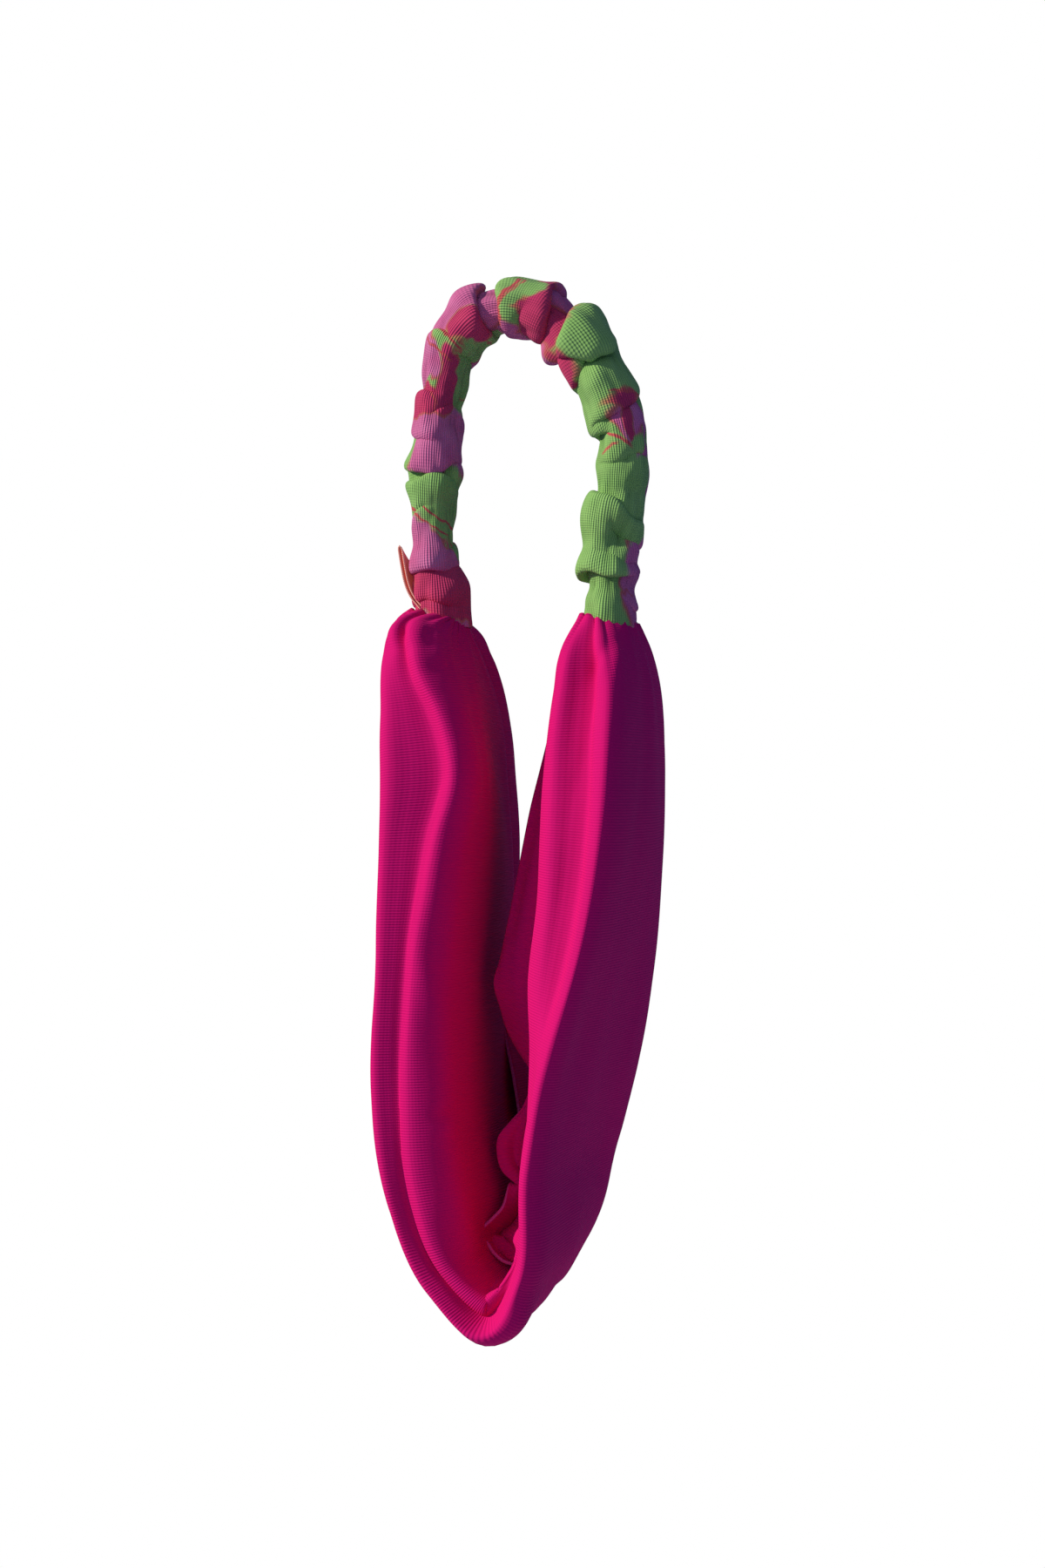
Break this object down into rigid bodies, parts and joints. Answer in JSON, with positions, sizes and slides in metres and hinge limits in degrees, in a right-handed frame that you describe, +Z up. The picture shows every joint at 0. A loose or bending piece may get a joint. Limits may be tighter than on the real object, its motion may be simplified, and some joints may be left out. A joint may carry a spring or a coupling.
{
  "type": "sports headband",
  "caption": "Wide folded jersey headband with a gathered printed elastic back, a folded ribbon label and sewn joins, hanging from a peg.",
  "frame": {"origin": "inner face of the gathered tube at the top of its arch, where the headband rests on a peg", "axes": "+Z up, +X the viewer's right across the loop, -Y the near side; the loop's axis is Y"},
  "size_m": [0.0637, 0.0685, 0.234],
  "materials": {
    "magenta_jersey": "matt knitted jersey",
    "printed_jersey": "matt knitted jersey with a leaf and petal print",
    "white_elastic": "woven elastic",
    "coral_thread": "polyester thread",
    "coral_ribbon": "satin ribbon",
    "magenta_thread": "polyester thread",
    "white_thread": "polyester thread"
  },
  "bodies": {
    "crown": {"casing_tube": "printed_jersey", "elastic_strip": "white_elastic", "casing_long_seam": "coral_thread"},
    "band": {"band_panel": "magenta_jersey", "left_join_seam": "magenta_thread", "right_join_seam": "magenta_thread", "left_gather_thread": "magenta_thread", "right_gather_thread": "magenta_thread", "left_elastic_tack": "white_thread", "right_elastic_tack": "white_thread"},
    "label": {"label_ribbon": "coral_ribbon"}
  },
  "joints": [
    {"name": "elastic_stretch", "type": "slide", "parent": "crown", "child": "band", "axis": [0, 0, -1], "range_m": [0, 0.06], "stiffness_N_per_m": 100, "springref_m": -0.002, "deforming": ["casing_tube", "elastic_strip", "casing_long_seam"]},
    {"name": "label_flap", "type": "hinge", "parent": "band", "child": "label", "pos_m": [-0.02865, -0.00102, -0.0628], "axis": [0.1181, -0.993, 0], "range_deg": [-3, 60], "stiffness_Nm_per_rad": 0.0002}
  ]
}
